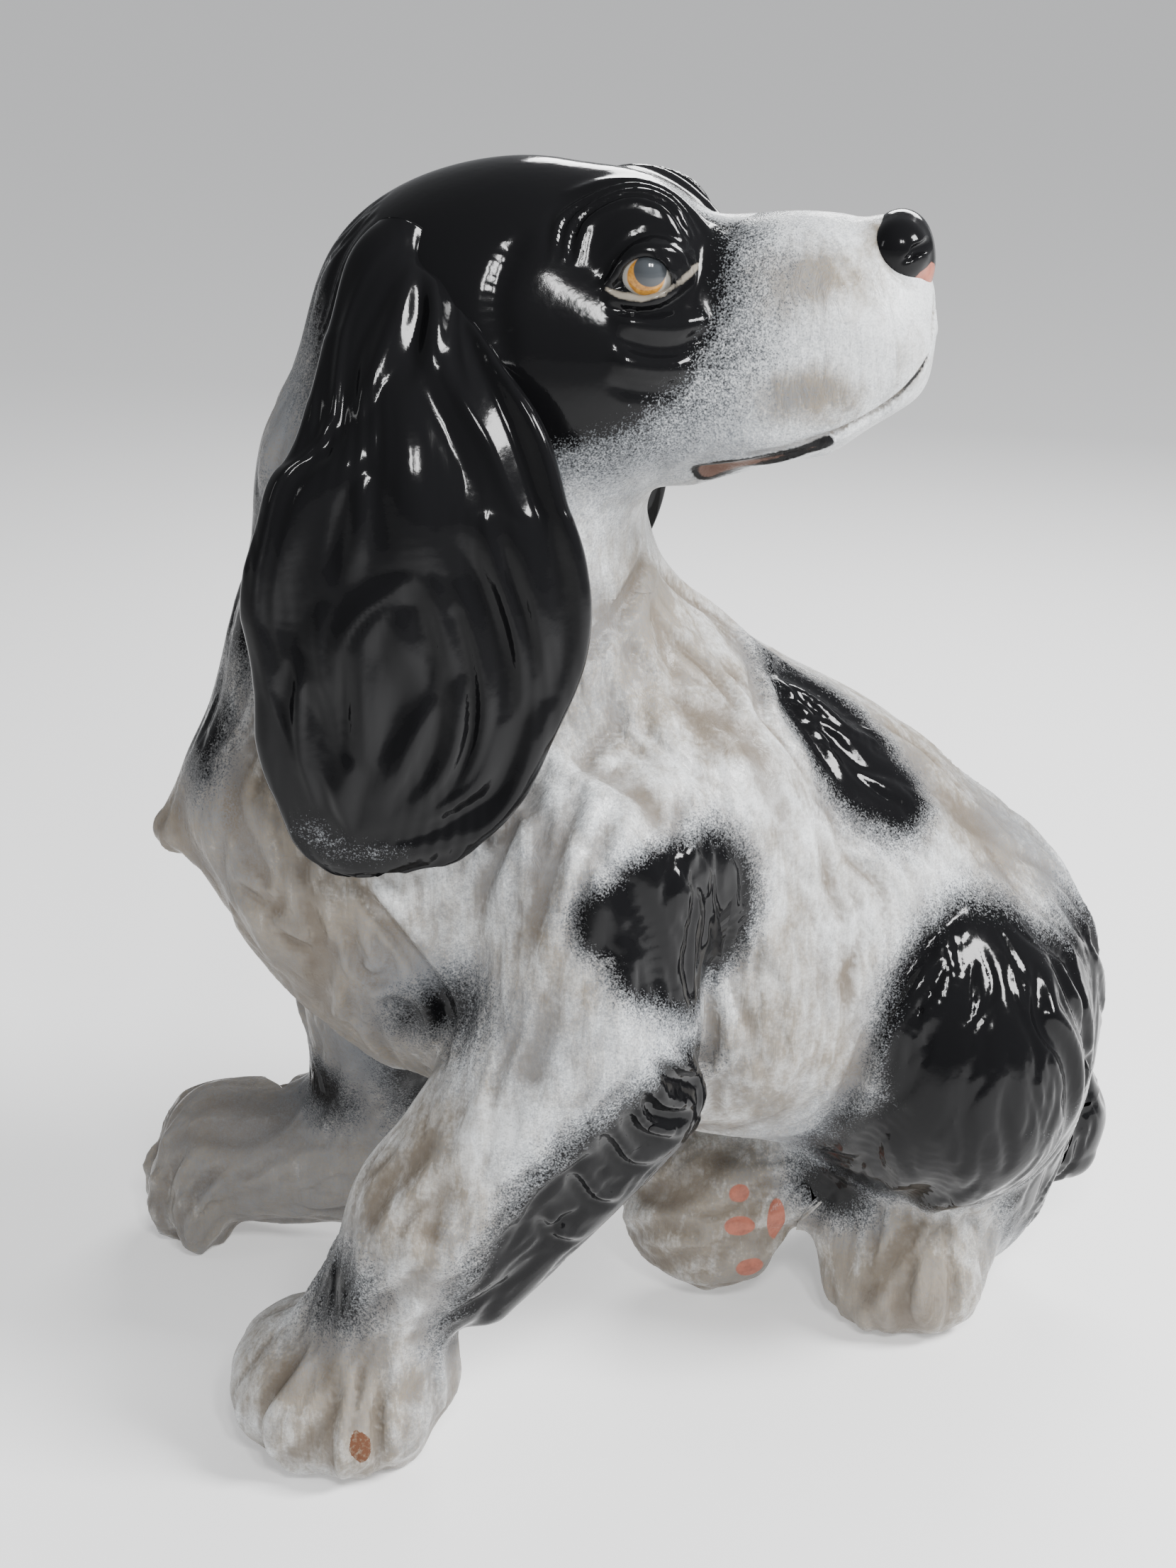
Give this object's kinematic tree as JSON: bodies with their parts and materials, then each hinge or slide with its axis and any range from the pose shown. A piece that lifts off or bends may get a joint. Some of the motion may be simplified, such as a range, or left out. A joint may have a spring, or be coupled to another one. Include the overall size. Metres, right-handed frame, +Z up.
{
  "type": "sitting dog figurine",
  "caption": "Glazed earthenware figurine of a sitting spaniel that looks back over its left shoulder; a hollow casting with luted legs, ears and head, for display on a shelf.",
  "frame": {"origin": "centre of the footprint's bounding box, on the table surface", "axes": "+Z up; -Y towards the display side, where the picture camera stands; +X to the viewer's right, roughly where the nose points; the chest faces -X, a little towards -Y"},
  "size_m": [0.3644, 0.2288, 0.4189],
  "materials": {
    "white_glaze": "gloss",
    "black_glaze": "gloss",
    "eye_glaze": "high gloss"
  },
  "bodies": {
    "root": {"torso": "white_glaze", "head": "black_glaze", "nose_pad": "black_glaze", "left_eye": "eye_glaze", "right_eye": "eye_glaze", "left_ear": "black_glaze", "right_ear": "black_glaze", "left_foreleg": "white_glaze", "right_foreleg": "white_glaze", "left_hind_leg": "black_glaze", "right_hind_leg": "white_glaze", "tail": "black_glaze"}
  },
  "joints": []
}
